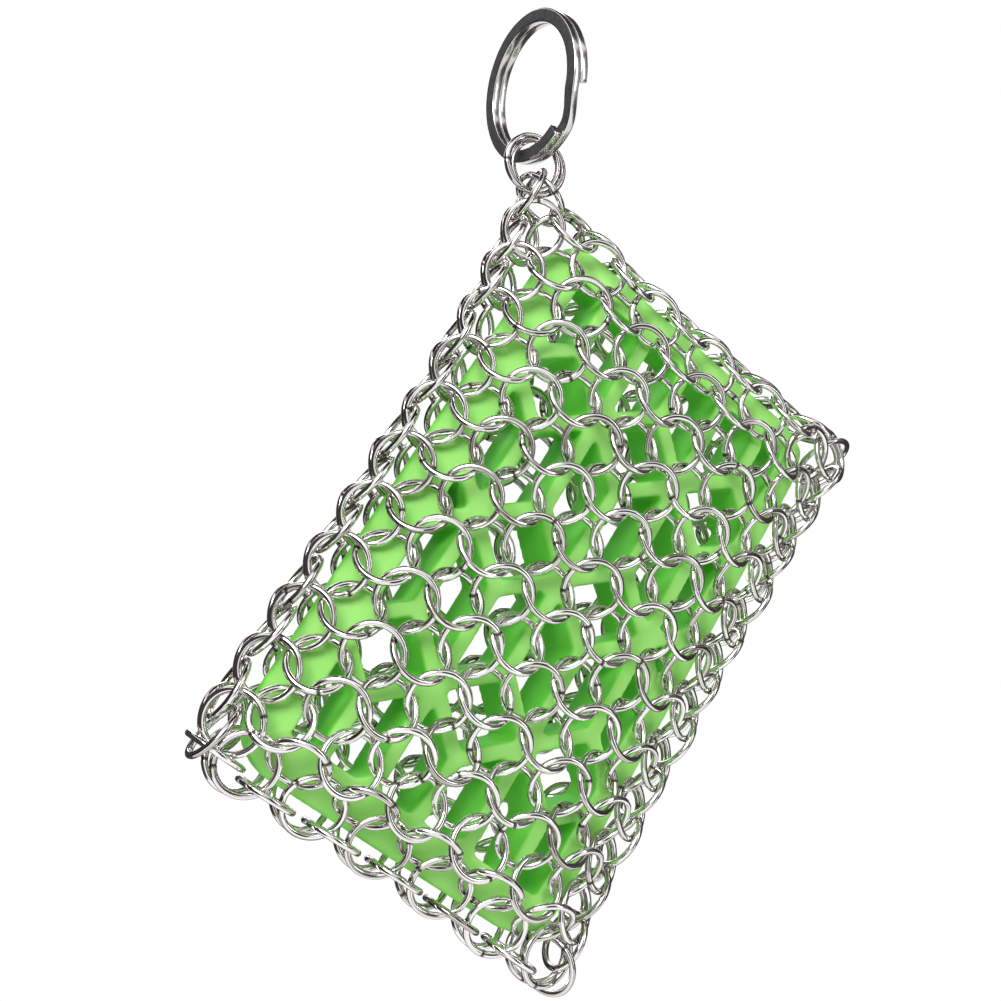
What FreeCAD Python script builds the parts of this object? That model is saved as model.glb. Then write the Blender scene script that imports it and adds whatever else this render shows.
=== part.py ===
"""Pot scrubber: a closed pouch of steel mail round a silicone lattice core, hung by a split ring.

World frame in millimetres, +Z up. The scrubber hangs as it does on a hook: the split ring's centre is
the origin, the pad is in the XZ plane with its front towards -Y and its hanging corner uppermost.
"""
import FreeCAD, Part
import math
import os
import random

Vector = FreeCAD.Vector

# Mail rings
wire_d = 1.1
ring_bore = 8.3
wire_gap = 0.1
ring_r = (ring_bore + wire_d) / 2

# Weave: columns run along the pad, rows across it, a ring stands at every second crossing
col_count = 24
row_count = 13
col_step = 4.75
row_step = 6.1
ring_lean = 24.0
lean_turn = 16.0
edge_share = 0.45
upper_spread = 0.06
corner_reach = 1.5
corner_lift = 1.0
corner_turn = 55.0
end_lean = 15.0
ring_play = 0.15
lean_play = 0.03

# Height of the sheet over the pad's middle plane, and its rise at the folded edges
sheet_height = 7.7
end_inset_1 = 1.7
end_inset_2 = 5.6
end_inset_3 = 10.2
end_rise_1 = 3.5
end_rise_2 = 6.1
end_rise_3 = 7.45
side_inset_1 = 2.4
side_inset_2 = 7.5
side_inset_3 = 13.5
side_rise_1 = 3.8
side_rise_2 = 6.5
side_rise_3 = 7.55

# Filling out of the settled pouch by its core, in small steps
fill_rise = 1.8
fill_steps = 36
corner_pull = 7.0
bare_corner_pull = 3.0
corner_flare = 4.0

# Silicone core
core_thick = 10.8
core_lip = 1.2
core_corner_r = 9.0
core_end_inset = 2.4
core_end_slope = 9.8
core_side_inset = 3.9
core_side_slope = 8.4
frame_width = 7.0
web_thick = 2.6
cell_length = 25.4
cell_row = 9.1
cell_half = 7.9

# Split ring
key_outer_d = 25.4
key_width = 2.3
key_turn = 1.35
key_gap = 0.08
key_facing = 10.0
key_climb_from = -51.0
key_climb_to = -17.0
key_end_gap = 3.0

# Link rings between the split ring and the hanging corner
link_spacing = 1.3
link_side = 0.8
link_drop = 1.8
corner_drop = 1.8
corner_side = 0.8
pad_tilt = 34.4

half_length = end_inset_3 + (col_count / 2 - 3) * col_step
half_width = side_inset_3 + (row_count / 2 - 3) * row_step


def along(inset_1, inset_2, inset_3, step, index):
    """Distance from the folded edge of the index-th line of rings."""
    first = [0.0, inset_1, inset_2, inset_3]
    if index <= 3:
        return first[index]
    return inset_3 + (index - 3) * step


def rise(rise_1, rise_2, rise_3, index):
    """Height over the middle plane of the index-th line of rings."""
    first = [0.0, rise_1, rise_2, rise_3]
    if index <= 3:
        return first[index]
    return sheet_height


def end_line(index):
    inset = along(end_inset_1, end_inset_2, end_inset_3, col_step, index)
    return inset, rise(end_rise_1, end_rise_2, end_rise_3, index)


def side_line(index):
    inset = along(side_inset_1, side_inset_2, side_inset_3, row_step, index)
    return inset, rise(side_rise_1, side_rise_2, side_rise_3, index)


def slope(line, index):
    """Slope of the sheet at a line, in radians."""
    inset_a, rise_a = line(index - 1)
    inset_b, rise_b = line(index + 1)
    return math.atan2(rise_b - rise_a, inset_b - inset_a)


class Ring:
    """One welded wire ring: its place in the weave, its centre and the normal of its plane."""

    def __init__(self, col, row, side, centre, normal):
        self.col = col
        self.row = row
        self.side = side
        self.centre = centre
        self.normal = normal.normalize()

    def is_near(self, other):
        return abs(self.col - other.col) <= 4 and abs(self.row - other.row) <= 2


def lean_share(col, from_end, from_side):
    """Share of the full lean that a ring keeps near the folds."""
    if col <= col_count / 2:
        end_share = [0.0, 0.95, 0.95, 1.0]
    else:
        end_share = [0.0, 0.0, 0.6, 0.9]
    side_share = [0.0, 0.45, 0.75, 1.0]
    return min(end_share[min(from_end, 3)], side_share[min(from_side, 3)])


def edge_ring(col, row, u, v, to_end, to_side):
    """A ring on the fold, standing upright across the middle plane."""
    at_end = col in (0, col_count)
    at_side = row in (0, row_count)
    if at_end and at_side:
        outer = Vector(u + to_end * corner_reach, v + to_side * corner_reach, 0)
        return Ring(col, row, 0, outer, Vector(to_side, -to_end, 0))
    if at_end:
        shift = -ring_bore * 0.22 if row == row_count - 1 else 0.0
        lean = 0.0 if row == row_count - 1 else math.radians(end_lean)
        return Ring(col, row, 0, Vector(u, v, shift), Vector(math.cos(lean), 0, math.sin(lean)))
    shift = ring_bore * 0.22 if row == row_count and col in (1, col_count - 1) else 0.0
    lean = math.radians(ring_lean) * edge_share
    if col % 2 == 1:
        lean = -lean
    return Ring(col, row, 0, Vector(u, v, shift), Vector(-math.sin(lean), to_side * math.cos(lean), 0))


def sheet_ring(col, row, side, u, v, to_end, to_side):
    """A ring of the front or back sheet, leaning right side up in even columns and left side up in odd."""
    from_end = min(col, col_count - col)
    from_side = min(row, row_count - row)
    end_rise = end_line(from_end)[1]
    side_rise = side_line(from_side)[1]
    height = end_rise * side_rise / sheet_height
    slope_u = -to_end * slope(end_line, from_end) * side_rise / sheet_height
    slope_v = -to_side * slope(side_line, from_side) * end_rise / sheet_height
    tangent_u = Vector(math.cos(slope_u), 0, math.sin(slope_u))
    tangent_v = Vector(0, math.cos(slope_v), math.sin(slope_v))
    outward = tangent_u.cross(tangent_v).normalize()
    lean = math.radians(ring_lean) * lean_share(col, from_end, from_side)
    if col % 2 == 1:
        lean = -lean
    turn = math.radians(lean_turn) * min(1.0, (from_end - 1) / 3, (from_side - 1) / 2)
    leaning = tangent_u * math.cos(turn) - tangent_v * math.sin(turn)
    normal = outward * math.cos(lean) - leaning.normalize() * math.sin(lean)
    centre = Vector(u, v, height)
    if col == col_count - 1 and from_side == 1:
        centre.z = centre.z + corner_lift
    if from_end > 3 and from_side > 2:
        centre = centre + Vector(play(), play(), play()) * ring_play
        normal = normal + Vector(play(), play(), play()) * lean_play
    return Ring(col, row, side, Vector(centre.x, centre.y, side * centre.z),
                Vector(normal.x, normal.y, side * normal.z))


random_play = random.Random(5)


def play():
    return random_play.uniform(-1.0, 1.0)


def weave():
    """All rings of the pouch before they settle."""
    rings = []
    for col in range(col_count + 1):
        for row in range(row_count + 1):
            if (col + row) % 2 == 1:
                continue
            to_end = 1 if col > col_count / 2 else -1
            to_side = 1 if row > row_count / 2 else -1
            u = to_end * (half_length - end_line(min(col, col_count - col))[0])
            v = to_side * (half_width - side_line(min(row, row_count - row))[0])
            v = v * (1 + upper_spread * (u + half_length) / (2 * half_length))
            if col in (0, col_count) or row in (0, row_count):
                rings.append(edge_ring(col, row, u, v, to_end, to_side))
                continue
            rings.append(sheet_ring(col, row, 1, u, v, to_end, to_side))
            rings.append(sheet_ring(col, row, -1, u, v, to_end, to_side))
    return rings


sample_count = 40
sample_turns = [2 * math.pi * n / sample_count for n in range(sample_count)]


def plane_axes(normal):
    """Two axes across a ring's plane."""
    helper = Vector(1, 0, 0) if abs(normal.x) < 0.7 else Vector(0, 1, 0)
    first = normal.cross(helper).normalize()
    return first, normal.cross(first)


def approaches(ring, other):
    """Places where the two wires come closest: arm on each ring and the gap between the centre lines."""
    axis_a, axis_b = plane_axes(ring.normal)
    offset = ring.centre - other.centre
    axis_a = axis_a * ring_r
    axis_b = axis_b * ring_r
    lift_0 = offset.dot(other.normal)
    lift_a = axis_a.dot(other.normal)
    lift_b = axis_b.dot(other.normal)
    size_0 = offset.dot(offset) + ring_r * ring_r
    size_a = 2 * offset.dot(axis_a)
    size_b = 2 * offset.dot(axis_b)

    def spacing(angle):
        cosine = math.cos(angle)
        sine = math.sin(angle)
        lift = lift_0 + cosine * lift_a + sine * lift_b
        reach = math.sqrt(max(0.0, size_0 + cosine * size_a + sine * size_b - lift * lift)) - ring_r
        return reach * reach + lift * lift

    values = [spacing(angle) for angle in sample_turns]
    found = []
    for n in range(sample_count):
        before = values[n - 1]
        here = values[n]
        after = values[(n + 1) % sample_count]
        if here > before or here >= after or here > 4 * wire_d * wire_d:
            continue
        bend = before - 2 * here + after
        step = 0.5 * (before - after) / bend if bend > 1e-9 else 0.0
        angle = sample_turns[1] * (n + step)
        arm = axis_a * math.cos(angle) + axis_b * math.sin(angle)
        point = offset + arm
        flat = point - other.normal * point.dot(other.normal)
        other_arm = flat.normalize() * ring_r
        found.append((arm, other_arm, point - other_arm))
    return found


def push(ring, arm, way, amount):
    """Moves and turns a ring a little, as a push on its wire would."""
    ring.centre = ring.centre + way * amount
    turn = arm.cross(way) * (amount / (ring_r * ring_r))
    ring.normal = (ring.normal + turn.cross(ring.normal)).normalize()


def near_pairs(rings):
    pairs = []
    for n, ring in enumerate(rings):
        pairs.extend((ring, other) for other in rings[n + 1:] if ring.is_near(other))
    return pairs


def settle(pairs, spacing, sweeps):
    """Pushes touching wires apart until all centre lines keep the spacing."""
    for sweep in range(sweeps):
        for ring, other in pairs:
            if ring.centre.distanceToPoint(other.centre) > 2 * ring_r + spacing:
                continue
            for arm, other_arm, gap in approaches(ring, other):
                short = spacing - gap.Length
                if short <= 0:
                    continue
                way = gap.normalize()
                give = 2 + (arm.cross(way).Length / ring_r) ** 2 + (other_arm.cross(way).Length / ring_r) ** 2
                push(ring, arm, way, 0.9 * short / give)
                push(other, other_arm, way, -0.9 * short / give)


def lie_down(ring, angle):
    """Turns a loose corner ring a little towards the pad's middle plane."""
    across = Vector(ring.normal.x, ring.normal.y, 0).normalize()
    upward = Vector(0, 0, 1) * across.dot(ring.normal) - across * ring.normal.z
    ring.normal = ring.normal * math.cos(angle) + upward * math.sin(angle)


def fill_out(rings):
    """One small step of the core's push on both sheets, with the loose corner rings drawn in and lying down."""
    for ring in rings:
        ring.centre.z = ring.centre.z * (1 + fill_rise / sheet_height / fill_steps)
        share = max(0.0, ring.centre.x / half_length) ** 2 * max(0.0, ring.centre.y / half_width)
        ring.centre.y = ring.centre.y + share * corner_flare / fill_steps
        inward = Vector(-ring.centre.x, -ring.centre.y, 0).normalize()
        if ring.col in (0, col_count) and ring.row in (0, row_count):
            lie_down(ring, math.radians(corner_turn) / fill_steps)
            ring.centre = ring.centre + inward * (corner_pull / fill_steps)
        elif (ring.col, ring.row) in ((1, row_count), (0, row_count - 1)):
            ring.centre = ring.centre + inward * (bare_corner_pull / fill_steps)


def settled_mail():
    rings = weave()
    pairs = near_pairs(rings)
    spacing = wire_d + wire_gap
    for share in (0.5, 0.8, 1.0):
        settle(pairs, share * spacing, 24)
    for step in range(fill_steps):
        fill_out(rings)
        settle(pairs, spacing, 3)
    settle(pairs, spacing, 40)
    return rings


def prism(points, way):
    """A straight prism on a closed outline."""
    outline = Part.makePolygon(points + points[:1])
    return Part.Face(outline).extrude(way)


def bar(u1, v1, u2, v2):
    """A straight web of the core between two points of the middle plane, past both ends by half its width."""
    start = Vector(u1, v1, -core_thick / 2)
    finish = Vector(u2, v2, -core_thick / 2)
    way = (finish - start).normalize()
    across = Vector(-way.y, way.x, 0) * (web_thick / 2)
    start = start - way * (web_thick / 2)
    finish = finish + way * (web_thick / 2)
    return prism([start - across, finish - across, finish + across, start + across], Vector(0, 0, core_thick))


def lens(half_span, inset, slope_span, length, across):
    """Outline of the core seen along one axis: flat top and bottom, sloping sides and a blunt lip."""
    lip = half_span - inset
    top = lip - slope_span
    half = core_thick / 2
    outline = []
    for s, w in ((lip, -core_lip / 2), (lip, core_lip / 2), (top, half), (-top, half),
                 (-lip, core_lip / 2), (-lip, -core_lip / 2), (-top, -half), (top, -half)):
        outline.append(Vector(-length, s, w) if across else Vector(s, -length, w))
    return prism(outline, Vector(2 * length, 0, 0) if across else Vector(0, 2 * length, 0))


def core_webs():
    """Long webs and columns of lozenges, every other column staggered by one row."""
    webs = []
    columns = range(-2, 3)
    levels = range(-3, 4)
    for column in columns:
        middle = column * cell_length
        for level in levels:
            v = level * cell_row
            if (column + level) % 2 == 0:
                for way in (-1, 1):
                    reach = middle + way * (cell_length - cell_half)
                    webs.append(bar(middle, v, reach, v))
                    corner = middle + way * cell_half
                    webs.append(bar(middle, v, corner, v + cell_row))
                    webs.append(bar(middle, v, corner, v - cell_row))
    return webs


def silicone_core():
    outer_u = half_length - core_end_inset
    outer_v = half_width - core_side_inset
    inner_u = outer_u - frame_width
    inner_v = outer_v - frame_width
    base = Vector(-outer_u, -outer_v, -core_thick / 2)
    block = Part.makeBox(2 * outer_u, 2 * outer_v, core_thick, base)
    uprights = [edge for edge in block.Edges if abs(edge.tangentAt(edge.FirstParameter).z) > 0.9]
    block = block.makeFillet(core_corner_r, uprights)
    hole_base = Vector(-inner_u, -inner_v, -core_thick / 2)
    frame = block.cut(Part.makeBox(2 * inner_u, 2 * inner_v, core_thick, hole_base))
    lattice = frame.multiFuse(core_webs()).common(block).removeSplitter()
    along_lens = lens(half_width, core_side_inset, core_side_slope, half_length, True)
    across_lens = lens(half_length, core_end_inset, core_end_slope, half_width, False)
    return lattice.common(along_lens).common(across_lens)


def sector(low, high, start, finish):
    """A flat piece of the split ring between two angles and two heights."""
    inner = key_outer_d / 2 - key_width
    outer = key_outer_d / 2
    outline = Part.makePolygon([Vector(inner, 0, low), Vector(outer, 0, low), Vector(outer, 0, high),
                                Vector(inner, 0, high), Vector(inner, 0, low)])
    piece = Part.Face(outline).revolve(Vector(0, 0, 0), Vector(0, 0, 1), finish - start)
    piece.rotate(Vector(0, 0, 0), Vector(0, 0, 1), start)
    return piece


def climb(low, high):
    """The short bend that carries the wire from the rear turn to the front turn."""
    inner = key_outer_d / 2 - key_width
    outer = key_outer_d / 2
    steps = 8
    sections = []
    for n in range(steps + 1):
        share = n / steps
        eased = share * share * (3 - 2 * share)
        base = low + (high - low) * eased
        angle = math.radians(key_climb_from + (key_climb_to - key_climb_from) * share)
        way = Vector(math.cos(angle), math.sin(angle), 0)
        near = way * inner
        far = way * outer
        foot = Vector(0, 0, base)
        head = Vector(0, 0, base + key_turn)
        sections.append(Part.makePolygon([near + foot, far + foot, far + head, near + head, near + foot]))
    return Part.makeLoft(sections, True, True)


def key_ring():
    """Two flat turns of one wire, front turn uppermost along the ring's own axis."""
    front = key_gap / 2
    rear = -key_gap / 2 - key_turn
    round_to = key_climb_from + 360
    front_turn = sector(front, front + key_turn, key_climb_to, round_to - key_end_gap)
    rear_turn = sector(rear, rear + key_turn, key_climb_to + key_end_gap, round_to)
    return front_turn.fuse([climb(rear, front), rear_turn])


def torus(ring):
    return Part.makeTorus(ring_r, wire_d / 2, ring.centre, ring.normal)


def find(rings, col, row):
    return next(ring for ring in rings if ring.col == col and ring.row == row)


def outermost(ring):
    """Point of a ring's wire that is farthest from the middle of the pad."""
    way = Vector(ring.centre.x, ring.centre.y, 0).normalize()
    arm = way - ring.normal * way.dot(ring.normal)
    return ring.centre + arm.normalize() * ring_r


def frame_matrix(first, second, third, origin):
    """Placement that carries the local axes onto three world directions."""
    return FreeCAD.Matrix(first.x, second.x, third.x, origin.x,
                          first.y, second.y, third.y, origin.y,
                          first.z, second.z, third.z, origin.z,
                          0, 0, 0, 1)


def export(shape, name):
    os.makedirs("parts", exist_ok=True)
    shape.exportStep("parts/" + name + ".step")


rings = settled_mail()

# The pad hangs by the two upright rings at its upper corner, tilted so that it nearly balances below them
side_ring = find(rings, col_count - 1, row_count)
end_ring = find(rings, col_count, row_count - 1)
hang_point = (outermost(side_ring) + outermost(end_ring)) * 0.5
hang_point.z = 0
key_bar = key_outer_d / 2 - key_width / 2
link_height = -key_bar - link_drop
tilt = math.radians(pad_tilt)
u_way = Vector(math.sin(tilt), 0, math.cos(tilt))
v_way = Vector(-math.cos(tilt), 0, math.sin(tilt))
w_way = Vector(0, -1, 0)
corner = Vector(-corner_side, 0, link_height - corner_drop)
pad_middle = corner - u_way * hang_point.x - v_way * hang_point.y
pad_matrix = frame_matrix(u_way, v_way, w_way, pad_middle)


def pad_placed(shape):
    placed = shape.copy()
    placed.Placement = FreeCAD.Placement(pad_matrix)
    return placed


def row_of(chosen):
    return pad_placed(Part.makeCompound([torus(ring) for ring in chosen]))


for row in range(1, row_count):
    front = [ring for ring in rings if ring.row == row and ring.side == 1]
    back = [ring for ring in rings if ring.row == row and ring.side == -1]
    export(row_of(front), "front_row_%02d" % row)
    export(row_of(back), "back_row_%02d" % row)
export(row_of([ring for ring in rings if ring.row == 0]), "lower_side_row")
export(row_of([ring for ring in rings if ring.row == row_count]), "upper_side_row")
export(row_of([ring for ring in rings if ring.col == 0 and 0 < ring.row < row_count]), "lower_end_row")
export(row_of([ring for ring in rings if ring.col == col_count and 0 < ring.row < row_count]), "upper_end_row")
export(pad_placed(silicone_core()), "silicone_core")

# Link rings side by side, square to the pad's front
for name, side in (("front_link_ring", -1), ("back_link_ring", 1)):
    centre = Vector(side * link_side, side * link_spacing / 2, link_height)
    export(Part.makeTorus(ring_r, wire_d / 2, centre, Vector(0, 1, 0)), name)

# Split ring, its front turn towards -X and a little to the front
key_angle = math.radians(key_facing)
key_axis = Vector(-math.cos(key_angle), -math.sin(key_angle), 0)
key_right = Vector(0, 0, 1).cross(key_axis)
key_shape = key_ring()
key_shape.Placement = FreeCAD.Placement(frame_matrix(key_right, Vector(0, 0, 1), key_axis, Vector(0, 0, 0)))
export(key_shape, "key_ring")
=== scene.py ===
"""Looks of the pot scrubber: steel mail pouch, silicone lattice core, link rings and split ring."""
import bmesh
import bpy
import math
import numpy as np
from mathutils import Matrix, Vector


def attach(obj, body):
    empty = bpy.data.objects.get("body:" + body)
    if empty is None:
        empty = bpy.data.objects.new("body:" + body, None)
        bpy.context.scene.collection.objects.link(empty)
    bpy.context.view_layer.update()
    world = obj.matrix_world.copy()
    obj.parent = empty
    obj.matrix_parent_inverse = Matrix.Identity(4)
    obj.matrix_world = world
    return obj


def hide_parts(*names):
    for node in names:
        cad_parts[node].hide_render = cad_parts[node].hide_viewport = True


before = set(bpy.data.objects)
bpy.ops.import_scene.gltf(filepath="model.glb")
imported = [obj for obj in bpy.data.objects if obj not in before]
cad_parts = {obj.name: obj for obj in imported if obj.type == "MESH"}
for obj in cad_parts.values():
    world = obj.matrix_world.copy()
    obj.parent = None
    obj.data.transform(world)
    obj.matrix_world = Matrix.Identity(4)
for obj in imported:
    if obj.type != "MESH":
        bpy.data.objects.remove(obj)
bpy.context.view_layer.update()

full_turn = 2 * math.pi
upward = Vector((0.0, 0.0, 1.0))

# Grid on which the corners of a CAD mesh are joined
grid_per_metre = 1e7
grid_step = 1e-7

# Wire rings
wire_radius = 0.00055
ring_radius = 0.0047
ring_steps = 64
wire_steps = 14

# Weld of a ring, as angles round the ring and shares of the wire's radius
seam_angle = 0.085
seam_swell = 0.05
seam_swell_angle = 2 * seam_angle
seam_groove = 0.16
seam_groove_angle = 0.35 * seam_angle

# How the steps round a ring draw together at its weld
gather_share = 0.55
gather_angle = 0.5

# Colours of the wire
wire_bright = (0.95, 0.94, 0.93)
wire_clouded = (0.87, 0.85, 0.835)
wire_dull = (0.60, 0.565, 0.545)
# Dark of the lines along the wire: partly die lines, partly painted dark reflections
die_line_and_reflection_dark = (0.190, 0.142, 0.128)
weld_brown = (0.30, 0.235, 0.205)
weld_black = (0.045, 0.036, 0.032)

# Most that the pattern of dark lines along the wire, partly die lines and partly painted dark reflections,
# shifts from one ring to another
die_and_reflection_line_shift = 9.0

# Silicone core
core_join = 1e-6
core_voxel = 0.00042
core_softness = 0.5
core_rounds = 4

# Colours of the core, as lit and shaded copies of one lime: painted light on the flat tops, painted shade on
# the walls
shaded_wall_lime = (0.232, 0.775, 0.105)
shaded_wall_lime_deep = (0.190, 0.705, 0.085)
lit_top_lime = (0.375, 0.805, 0.205)
lit_top_lime_deep = (0.315, 0.735, 0.165)
speck_lime = (0.46, 0.83, 0.28)

# Split ring
split_outer_radius = 0.0127
split_width = 0.0023
split_turn = 0.00135
split_gap = 0.00008
split_edge_radius = 0.00028
split_facing = math.radians(10.0)
split_climb_from = math.radians(-51.0)
split_climb_to = math.radians(-17.0)
split_end_gap = math.radians(3.0)
split_end_size = 0.78
split_end_ease = 0.4
split_steps = 260
split_corner_steps = 4

# Colours of the split ring
face_dark = (0.060, 0.058, 0.064)
face_dark_clouded = (0.092, 0.090, 0.098)
face_pit = (0.20, 0.20, 0.21)
rim_bright = (0.76, 0.75, 0.74)
rim_clouded = (0.62, 0.60, 0.59)

# Photograph's view
view_azimuth = math.radians(-24.93)
view_elevation = math.radians(-4.21)
view_roll = math.radians(-0.32)
view_distance = 0.2104
view_target = Vector((-0.00556, 0.00259, -0.06963))
view_focal = 1280.5
view_nearest = 0.01
photo_side = 1001.0
sensor_width = 36.0

# Studio
pad_middle = Vector((0.0, 0.0, -0.07))
floor_half = 0.25
floor_height = -0.26
floor_white = (0.86, 0.86, 0.86)
floor_white_clouded = (0.90, 0.90, 0.90)
card_black = (0.030, 0.025, 0.023)
card_black_clouded = (0.044, 0.037, 0.034)
surround_strength = 0.55

# Sockets of a Mix node that mixes colours
mix_share = 0
mix_first = 6
mix_second = 7
mix_result = 2


class Value:
    """A shader value that works in sums and products like a number."""

    def __init__(self, shader, socket):
        self.shader = shader
        self.socket = socket

    def math(self, operation, *others):
        inputs = dict(enumerate((self,) + others))
        return self.shader.node("ShaderNodeMath", {"operation": operation}, inputs)

    def __add__(self, other):
        return self.math("ADD", other)

    def __radd__(self, other):
        return self.math("ADD", other)

    def __mul__(self, other):
        return self.math("MULTIPLY", other)

    def __rmul__(self, other):
        return self.math("MULTIPLY", other)

    def larger(self, other):
        return self.math("MAXIMUM", other)

    def between(self, low, high):
        """0 below low, 1 above high, straight between."""
        return self.shader.node("ShaderNodeMapRange", {"clamp": True},
                                {"Value": self, "From Min": low, "From Max": high})


class Shader:
    """Adds nodes to one material or world and links them."""

    def __init__(self, tree):
        self.tree = tree

    def node(self, kind, settings=None, inputs=None, output=0):
        made = self.tree.nodes.new(kind)
        for name, setting in (settings or {}).items():
            setattr(made, name, setting)
        for place, value in (inputs or {}).items():
            if isinstance(value, Value):
                self.tree.links.new(value.socket, made.inputs[place])
            else:
                made.inputs[place].default_value = value
        return Value(self, made.outputs[output])

    def mix(self, share, first, second):
        """A colour between two colours."""
        first = first if isinstance(first, Value) else (*first, 1.0)
        second = second if isinstance(second, Value) else (*second, 1.0)
        return self.node("ShaderNodeMix", {"data_type": "RGBA", "clamp_factor": True},
                         {mix_share: share, mix_first: first, mix_second: second}, output=mix_result)

    def noise(self, where, scale, detail=3.0, roughness=0.55):
        return self.node("ShaderNodeTexNoise", {"noise_dimensions": "3D"},
                         {"Vector": where, "Scale": scale, "Detail": detail, "Roughness": roughness})

    def attribute(self, name, output="Fac"):
        return self.node("ShaderNodeAttribute", {"attribute_name": name}, output=output)

    def place(self):
        return self.node("ShaderNodeTexCoord", output="Object")

    def facing(self):
        """1 where the surface faces the pad's front or back, 0 where it faces along the pad."""
        normal = self.node("ShaderNodeTexCoord", output="Normal")
        return self.node("ShaderNodeSeparateXYZ", None, {"Vector": normal}, output="Y").math("ABSOLUTE")

    def bump(self, height, strength, distance):
        return self.node("ShaderNodeBump", None,
                         {"Strength": strength, "Distance": distance, "Height": height})


def finish(name, build, **constants):
    """A material whose varying sockets come from build and whose other sockets are set directly."""
    material = bpy.data.materials.new(name)
    material.use_nodes = True
    tree = material.node_tree
    surface = tree.nodes["Principled BSDF"]
    for socket, value in constants.items():
        surface.inputs[socket.replace("_", " ")].default_value = value
    for socket, value in build(Shader(tree)).items():
        tree.links.new(value.socket, surface.inputs[socket])
    return material


def wire_steel(shader):
    """Drawn and polished wire with dark lines along it, partly die lines and partly painted reflections of
    dark surroundings, browned at the weld with a dark line across.
    """
    where = shader.place()
    seam = shader.attribute("seam")
    tone = shader.attribute("ring_tone")
    die_and_reflection_lines = shader.noise(shader.attribute("wire_side", "Vector"), scale=2.6, detail=2.0)
    cloud = shader.noise(where, scale=420.0)
    grain = shader.noise(where, scale=5200.0, detail=2.0)
    dulled = 0.3 * tone
    # Dark lines along the wire: die lines, and painted dark reflections of the kind polished wire shows
    drawn_and_reflected = 0.84 * die_and_reflection_lines.between(0.50, 0.62)
    browned = seam * (0.25 + 0.35 * cloud)
    blackened = 0.92 * seam.between(0.45, 0.85)
    steel = shader.mix(cloud.between(0.3, 0.7), wire_bright, wire_clouded)
    steel = shader.mix(dulled, steel, wire_dull)
    steel = shader.mix(drawn_and_reflected, steel, die_line_and_reflection_dark)
    steel = shader.mix(browned, steel, weld_brown)
    steel = shader.mix(blackened, steel, weld_black)
    roughness = 0.06 + 0.06 * grain + 0.04 * tone + 0.22 * seam
    height = 0.4 * grain + 0.2 * cloud + 0.4 * die_and_reflection_lines
    relief = shader.bump(height, strength=0.12, distance=0.00004)
    return {"Base Color": steel, "Roughness": roughness, "Normal": relief}


def lime_silicone(shader):
    """Satin moulded silicone, a little cloudy, with painted light on its flat tops and painted shade on its
    walls, with the grain of the mould.
    """
    where = shader.place()
    cloud = shader.noise(where, scale=55.0, detail=2.0).between(0.35, 0.65)
    mould = shader.noise(where, scale=900.0, detail=3.0)
    speck = shader.noise(where, scale=3600.0, detail=1.0)
    # Painted light and shade: the flat tops are lighter than the walls, as where light falls on them
    flats = shader.facing().between(0.55, 0.92)
    specked = 0.2 * speck.between(0.66, 0.78)
    shaded_walls = shader.mix(cloud, shaded_wall_lime, shaded_wall_lime_deep)
    lit_tops = shader.mix(cloud, lit_top_lime, lit_top_lime_deep)
    green = shader.mix(flats, shaded_walls, lit_tops)
    green = shader.mix(specked, green, speck_lime)
    roughness = 0.56 + 0.14 * mould
    height = 0.7 * mould + 0.3 * speck
    relief = shader.bump(height, strength=0.18, distance=0.00006)
    return {"Base Color": green, "Roughness": roughness, "Normal": relief}


def split_face(shader):
    """The flat of the split ring: dark and dull, with fine pits."""
    where = shader.place()
    pits = shader.noise(where, scale=4600.0, detail=2.0)
    cloud = shader.noise(where, scale=500.0, detail=3.0)
    pitted = 0.7 * pits.between(0.55, 0.68)
    dark = shader.mix(cloud.between(0.3, 0.7), face_dark, face_dark_clouded)
    dark = shader.mix(pitted, dark, face_pit)
    roughness = 0.58 + 0.16 * cloud
    relief = shader.bump(pits, strength=0.25, distance=0.00005)
    return {"Base Color": dark, "Roughness": roughness, "Normal": relief}


def split_rim(shader):
    """The rims of the split ring: polished, with fine grain."""
    where = shader.place()
    grain = shader.noise(where, scale=4200.0, detail=2.0)
    cloud = shader.noise(where, scale=380.0, detail=2.0)
    steel = shader.mix(cloud.between(0.3, 0.7), rim_bright, rim_clouded)
    roughness = 0.12 + 0.12 * grain
    relief = shader.bump(grain, strength=0.10, distance=0.00004)
    return {"Base Color": steel, "Roughness": roughness, "Normal": relief}


def pale_floor(shader):
    cloud = shader.noise(shader.place(), scale=6.0, detail=2.0)
    return {"Base Color": shader.mix(cloud, floor_white, floor_white_clouded)}


def black_card(shader):
    cloud = shader.noise(shader.place(), scale=9.0, detail=2.0)
    return {"Base Color": shader.mix(cloud, card_black, card_black_clouded)}


def new_piece(name, points, faces, materials):
    mesh = bpy.data.meshes.new(name)
    mesh.from_pydata(points, [], faces)
    for material in materials:
        mesh.materials.append(material)
    mesh.polygons.foreach_set("use_smooth", [True] * len(mesh.polygons))
    mesh.update()
    piece = bpy.data.objects.new(name, mesh)
    bpy.context.scene.collection.objects.link(piece)
    return piece


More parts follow.
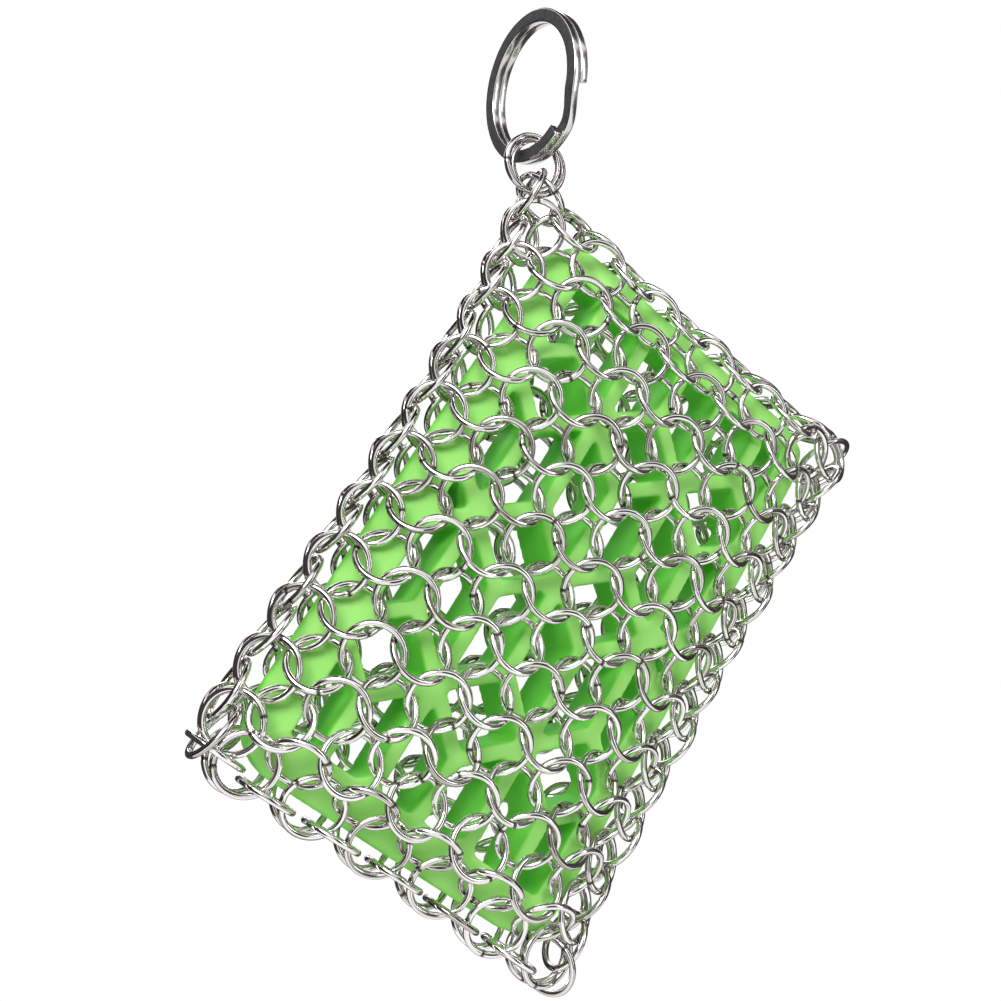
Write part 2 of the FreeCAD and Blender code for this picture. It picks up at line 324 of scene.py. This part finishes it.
def solids_of(node):
    """Corner points of each separate solid in a CAD node."""
    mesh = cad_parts[node].data
    points = np.zeros(len(mesh.vertices) * 3)
    mesh.vertices.foreach_get("co", points)
    on_grid = np.round(points.reshape(-1, 3) * grid_per_metre).astype(np.int64)
    corners, joined = np.unique(on_grid, axis=0, return_inverse=True)
    ends = np.zeros(len(mesh.edges) * 2, np.int32)
    mesh.edges.foreach_get("vertices", ends)
    ends = joined.reshape(-1)[ends].reshape(-1, 2)
    label = np.arange(len(corners))
    changed = True
    while changed:
        least = np.minimum(label[ends[:, 0]], label[ends[:, 1]])
        before = label.copy()
        np.minimum.at(label, ends[:, 0], least)
        np.minimum.at(label, ends[:, 1], least)
        label = label[label]
        changed = bool((before != label).any())
    return [corners[label == n] * grid_step for n in np.unique(label)]


def ring_frame(points):
    """Centre and three axes of a wire ring, the last along its own axis."""
    middle = points.mean(axis=0)
    axes = np.linalg.eigh(np.cov((points - middle).T))[1][:, ::-1].T
    axes[2] = np.cross(axes[0], axes[1])
    spread = (points - middle) @ axes.T
    centre = middle + ((spread.max(axis=0) + spread.min(axis=0)) / 2) @ axes
    return centre, axes


def angle_from(start, turn):
    """How far a turn lies from start, at most half a turn either way."""
    return (turn + math.pi - start) % full_turn - math.pi


def bell(off, width):
    """1 at the middle, falling away smoothly on both sides."""
    return np.exp(-(off / width) ** 2)


def ring_points(seam_turn):
    """Points of one ring in its own axes, how near each is to the weld, and its side of the wire."""
    turn = np.arange(ring_steps) * full_turn / ring_steps
    off = angle_from(seam_turn, turn)
    turn = turn - gather_share * off * bell(off, gather_angle)
    off = angle_from(seam_turn, turn)
    swell = seam_swell * bell(off, seam_swell_angle)
    groove = seam_groove * bell(off, seam_groove_angle)
    tube = wire_radius * (1 + swell - groove)
    round_wire = np.arange(wire_steps) * full_turn / wire_steps
    reach = ring_radius + tube[:, None] * np.cos(round_wire)
    lift = tube[:, None] * np.sin(round_wire)
    points = np.stack([reach * np.cos(turn)[:, None], reach * np.sin(turn)[:, None], lift], axis=2)
    near = np.repeat(bell(off, seam_angle), wire_steps)
    side = np.tile(np.stack([np.cos(round_wire), np.sin(round_wire)], axis=1), (ring_steps, 1))
    return points.reshape(-1, 3), near, side


def ring_faces():
    faces = []
    for step in range(ring_steps):
        here = step * wire_steps
        onward = (step + 1) % ring_steps * wire_steps
        for side in range(wire_steps):
            beside = (side + 1) % wire_steps
            faces.append((here + side, onward + side, onward + beside, here + beside))
    return np.array(faces)


def wire_rings(node, name, body, material, chance):
    """The welded rings of one row, where the CAD rings are."""
    one_ring = ring_faces()
    points = []
    faces = []
    seams = []
    tones = []
    sides = []
    for count, solid in enumerate(solids_of(node)):
        centre, axes = ring_frame(solid)
        shape, near, side = ring_points(chance.uniform(-math.pi, math.pi))
        tone = np.full(len(shape), chance.uniform(0.0, 1.0))
        points.append(centre + shape @ axes)
        faces.append(one_ring + count * len(shape))
        seams.append(near)
        tones.append(tone)
        sides.append(np.column_stack([side, die_and_reflection_line_shift * tone]))
    piece = new_piece(name, np.concatenate(points).tolist(), np.concatenate(faces).tolist(), [material])
    for attribute, values in (("seam", seams), ("ring_tone", tones)):
        layer = piece.data.attributes.new(attribute, "FLOAT", "POINT")
        layer.data.foreach_set("value", np.concatenate(values).astype(np.float32))
    layer = piece.data.attributes.new("wire_side", "FLOAT_VECTOR", "POINT")
    layer.data.foreach_set("vector", np.concatenate(sides).astype(np.float32).reshape(-1))
    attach(piece, body)
    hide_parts(node)


def silicone_core(material):
    """The lattice core with soft moulded edges, inside the CAD core's own envelope."""
    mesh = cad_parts["silicone_core"].data.copy()
    shell = bmesh.new()
    shell.from_mesh(mesh)
    bmesh.ops.remove_doubles(shell, verts=shell.verts, dist=core_join)
    shell.to_mesh(mesh)
    shell.free()
    block = bpy.data.objects.new("core_block", mesh)
    bpy.context.scene.collection.objects.link(block)
    remesh = block.modifiers.new("even", "REMESH")
    remesh.mode = "VOXEL"
    remesh.voxel_size = core_voxel
    soften = block.modifiers.new("soften", "SMOOTH")
    soften.factor = core_softness
    soften.iterations = core_rounds
    evaluated = block.evaluated_get(bpy.context.evaluated_depsgraph_get())
    soft = bpy.data.meshes.new_from_object(evaluated)
    bpy.data.objects.remove(block)
    soft.name = "core_lattice"
    soft.materials.clear()
    soft.materials.append(material)
    soft.polygons.foreach_set("use_smooth", [True] * len(soft.polygons))
    piece = bpy.data.objects.new("core_lattice", soft)
    bpy.context.scene.collection.objects.link(piece)
    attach(piece, "pad")
    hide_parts("silicone_core")


def split_section():
    """Points round the flat wire's section, and which sides between them are its flats."""
    half_wide = split_width / 2 - split_edge_radius
    half_high = split_turn / 2 - split_edge_radius
    points = []
    for corner, (across, up) in enumerate(((1, 1), (-1, 1), (-1, -1), (1, -1))):
        for step in range(split_corner_steps + 1):
            angle = math.pi / 2 * (corner + step / split_corner_steps)
            points.append((across * half_wide + split_edge_radius * math.cos(angle),
                           up * half_high + split_edge_radius * math.sin(angle)))
    flats = [split_corner_steps, 3 * split_corner_steps + 2]
    return points, flats


def split_height(turn):
    """Height of the wire's middle along the split ring's axis."""
    low = -(split_gap + split_turn) / 2
    start = split_climb_from + full_turn
    share = min(1.0, max(0.0, (turn - start) / (split_climb_to - split_climb_from)))
    return low + (split_gap + split_turn) * share * share * (3 - 2 * share)


def split_turns():
    """Angles of the sections along the wire, closer together at its two cut ends."""
    first = split_climb_to + split_end_gap
    last = split_climb_from + 2 * full_turn - split_end_gap
    ease = split_edge_radius / split_outer_radius
    even = [first + (last - first) * n / split_steps for n in range(split_steps + 1)]
    turns = [first, first + split_end_ease * ease]
    turns += [turn for turn in even if first + ease < turn < last - ease]
    turns += [last - split_end_ease * ease, last]
    return turns


def split_ring(face_material, rim_material):
    """One flat wire wound twice, with its two cut ends eased."""
    axis = Vector((-math.cos(split_facing), -math.sin(split_facing), 0.0))
    across = upward.cross(axis)
    middle_radius = split_outer_radius - split_width / 2
    turns = split_turns()
    section, flats = split_section()
    size = len(section)
    end = len(turns) - 1
    points = []
    faces = []
    flat_faces = []
    for n, turn in enumerate(turns):
        pinch = split_end_size if n in (0, end) else 1.0
        way = across * math.cos(turn) + upward * math.sin(turn)
        height = split_height(turn)
        for reach, lift in section:
            points.append(way * (middle_radius + reach * pinch) + axis * (height + lift * pinch))
    for n in range(end):
        here = n * size
        onward = here + size
        for side in range(size):
            beside = (side + 1) % size
            faces.append((here + side, here + beside, onward + beside, onward + side))
            flat_faces.append(side in flats)
    faces.append(tuple(reversed(range(size))))
    faces.append(tuple(end * size + side for side in range(size)))
    flat_faces.extend([False, False])
    piece = new_piece("split_ring_wire", points, faces, [rim_material, face_material])
    piece.data.polygons.foreach_set("material_index", [int(flat) for flat in flat_faces])
    shell = bmesh.new()
    shell.from_mesh(piece.data)
    bmesh.ops.recalc_face_normals(shell, faces=shell.faces)
    shell.to_mesh(piece.data)
    shell.free()
    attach(piece, "split_ring")
    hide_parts("key_ring")


def rectangle(name, half_wide, half_high, height, material):
    points = [(-half_wide, -half_high, height), (half_wide, -half_high, height),
              (half_wide, half_high, height), (-half_wide, half_high, height)]
    return new_piece(name, points, [(0, 1, 2, 3)], [material])


def turn_to_pad(holder, place):
    """Stands a light or a card at a place, facing the middle of the pad."""
    holder.location = place
    holder.rotation_mode = "QUATERNION"
    holder.rotation_quaternion = (pad_middle - Vector(place)).to_track_quat("-Z", "Y")


def soft_light(name, place, size, power):
    lamp = bpy.data.lights.new(name, "AREA")
    lamp.shape = "RECTANGLE"
    lamp.size, lamp.size_y = size
    lamp.energy = power
    holder = bpy.data.objects.new(name, lamp)
    turn_to_pad(holder, place)
    bpy.context.scene.collection.objects.link(holder)


def dark_card(name, place, size, material):
    """A black card that shows only in reflections, where it gives polished wire its dark lines."""
    card = rectangle(name, size[0] / 2, size[1] / 2, 0.0, material)
    turn_to_pad(card, place)
    card.visible_camera = False
    card.visible_diffuse = False
    card.visible_shadow = False
    card.visible_transmission = False


def white_surround(strength):
    """Even white light from all round, plain white where it is seen or mirrored."""
    world = bpy.data.worlds.new("white_surround")
    world.use_nodes = True
    bpy.context.scene.world = world
    shader = Shader(world.node_tree)
    seen = shader.node("ShaderNodeLightPath", output="Is Camera Ray")
    mirrored = shader.node("ShaderNodeLightPath", output="Is Glossy Ray")
    passed = shader.node("ShaderNodeLightPath", output="Is Transmission Ray")
    plain = seen.larger(mirrored).larger(passed)
    level = strength + (1.0 - strength) * plain
    background = world.node_tree.nodes["Background"]
    background.inputs["Color"].default_value = (1.0, 1.0, 1.0, 1.0)
    world.node_tree.links.new(level.socket, background.inputs["Strength"])


def camera():
    """The photograph's camera, looking from the left at about the pad's own height."""
    back = Vector((math.sin(view_azimuth) * math.cos(view_elevation),
                   -math.cos(view_azimuth) * math.cos(view_elevation),
                   math.sin(view_elevation)))
    right = upward.cross(back).normalized()
    up = back.cross(right)
    rolled_right = right * math.cos(view_roll) + up * math.sin(view_roll)
    rolled_up = up * math.cos(view_roll) - right * math.sin(view_roll)
    turned = Matrix((rolled_right, rolled_up, back)).transposed().to_4x4()
    lens = bpy.data.cameras.new("photo_view")
    lens.sensor_width = sensor_width
    lens.lens = view_focal / photo_side * sensor_width
    lens.clip_start = view_nearest
    holder = bpy.data.objects.new("photo_view", lens)
    holder.matrix_world = Matrix.Translation(view_target + back * view_distance) @ turned
    bpy.context.scene.collection.objects.link(holder)
    bpy.context.scene.camera = holder


# Finishes
steel = finish("wire_steel", wire_steel, Metallic=1.0)
silicone = finish("lime_silicone", lime_silicone, Subsurface_Weight=0.12, Subsurface_Radius=(0.4, 1.0, 0.25),
                  Subsurface_Scale=0.0025, Specular_IOR_Level=0.14)
face_steel = finish("split_face", split_face, Metallic=0.5)
rim_steel = finish("split_rim", split_rim, Metallic=1.0)
floor_paint = finish("pale_floor", pale_floor, Roughness=0.8)
card_paper = finish("black_card", black_card, Roughness=0.9)

# Pieces of the scrubber
chance = np.random.default_rng(11)
for row in range(1, 13):
    for side in ("front", "back"):
        label = "%s_row_%02d" % (side, row)
        wire_rings(label, label + "_rings", "pad", steel, chance)
for label in ("lower_side_row", "upper_side_row", "lower_end_row", "upper_end_row"):
    wire_rings(label, label + "_rings", "pad", steel, chance)
for label in ("front_link_ring", "back_link_ring"):
    wire_rings(label, label + "_wire", "link_rings", steel, chance)
silicone_core(silicone)
split_ring(face_steel, rim_steel)

# Studio with its floor, cards, lights and camera
floor = rectangle("studio_floor", floor_half, floor_half, floor_height, floor_paint)
for label, place, size in (("left_card", (-0.50, 0.10, -0.05), (0.74, 0.90)),
                           ("right_card", (0.50, -0.21, -0.05), (0.48, 0.90)),
                           ("back_right_card", (0.51, 0.165, -0.05), (0.33, 0.90)),
                           ("back_left_card", (-0.22, 0.48, -0.05), (0.36, 0.90)),
                           ("upper_card", (0.05, 0.02, 0.40), (0.60, 0.56)),
                           ("lower_card", (0.02, 0.10, -0.25), (0.54, 0.42)),
                           ("front_left_card", (-1.10, -0.75, -0.10), (0.45, 1.20)),
                           ("front_right_card", (0.25, -1.25, -0.10), (0.70, 1.20))):
    dark_card(label, place, size, card_paper)
white_surround(surround_strength)
for label, place, size, power in (("key_light", (-0.55, -0.75, 0.55), (0.6, 0.6), 9.5),
                                  ("fill_light", (0.75, -0.55, 0.1), (0.5, 0.7), 4.0),
                                  ("back_light", (0.2, 0.8, 0.45), (0.7, 0.5), 2.5)):
    soft_light(label, place, size, power)
camera()
bpy.context.scene.view_settings.view_transform = "Standard"
